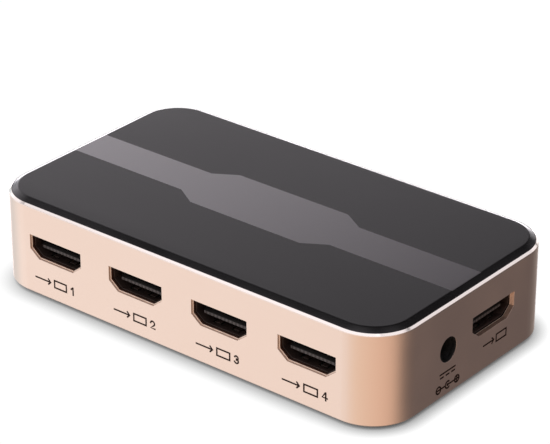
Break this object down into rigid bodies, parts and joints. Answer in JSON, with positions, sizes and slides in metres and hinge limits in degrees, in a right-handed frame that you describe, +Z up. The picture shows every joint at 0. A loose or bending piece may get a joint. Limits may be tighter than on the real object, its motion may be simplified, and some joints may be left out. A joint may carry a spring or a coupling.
{
  "type": "video splitter box",
  "caption": "Flat box with rounded corners, a gold metal frame and a bevelled black top; sockets along one side and one end share a video signal between several screens.",
  "frame": {"origin": "middle of the underside, level with the bottom of the feet", "axes": "+X along the case towards the end with the input socket and the power jack, -Y out of the output sockets, +Z up through the black panel"},
  "size_m": [0.1084, 0.0612, 0.0228],
  "materials": {
    "gold_aluminium": "champagne gold anodised, fine blasted",
    "black_gloss": "polished acrylic with a grey printed stripe",
    "black_plastic": "moulded, fine texture",
    "adhesive": "tape",
    "rubber": "matte",
    "screw_steel": "zinc plated, dark",
    "board": "green solder mask",
    "shell_steel": "dark nickel plate",
    "insulator": "moulded",
    "contact_gold": "gold plated",
    "bright_metal": "nickel plated",
    "spring_bronze": "plated bronze",
    "chip": "moulded epoxy",
    "tin": "tinned",
    "pad": "silicone pad",
    "sink_aluminium": "extruded",
    "ferrite": "moulded ferrite",
    "can_aluminium": "drawn can",
    "ceramic": "fired ceramic"
  },
  "bodies": {
    "case": {"case_frame": "gold_aluminium", "top_panel": "black_gloss", "panel_adhesive": "adhesive", "bottom_cover": "black_plastic", "rubber_feet": "rubber", "cover_screws": "screw_steel", "main_board": "board", "board_screws": "bright_metal", "output_1_shell": "shell_steel", "output_2_shell": "shell_steel", "output_3_shell": "shell_steel", "output_4_shell": "shell_steel", "output_1_insulator": "insulator", "output_2_insulator": "insulator", "output_3_insulator": "insulator", "output_4_insulator": "insulator", "output_1_contacts": "contact_gold", "output_2_contacts": "contact_gold", "output_3_contacts": "contact_gold", "output_4_contacts": "contact_gold", "input_shell": "shell_steel", "input_insulator": "insulator", "input_contacts": "contact_gold", "jack_housing": "black_plastic", "jack_centre_pin": "bright_metal", "jack_sleeve_terminal": "spring_bronze", "splitter_chip": "chip", "splitter_chip_leads": "tin", "thermal_pad": "pad", "heat_sink": "sink_aluminium", "controller_chip": "chip", "controller_chip_leads": "tin", "memory_chip": "chip", "memory_chip_leads": "tin", "voltage_regulator": "chip", "power_inductor": "ferrite", "bulk_capacitors": "can_aluminium", "bulk_capacitor_bases": "black_plastic", "crystal": "bright_metal", "coupling_capacitors": "ceramic", "surge_arrays": "chip", "chip_resistors": "chip"},
    "jack_spring": {"jack_sleeve_spring": "spring_bronze"}
  },
  "joints": [
    {"name": "sleeve_spring_flex", "type": "hinge", "parent": "case", "child": "jack_spring", "pos_m": [0.0437, -0.0086, 0.01568], "axis": [0, -1, 0], "range_deg": [0, 5], "stiffness_Nm_per_rad": 0.3}
  ]
}
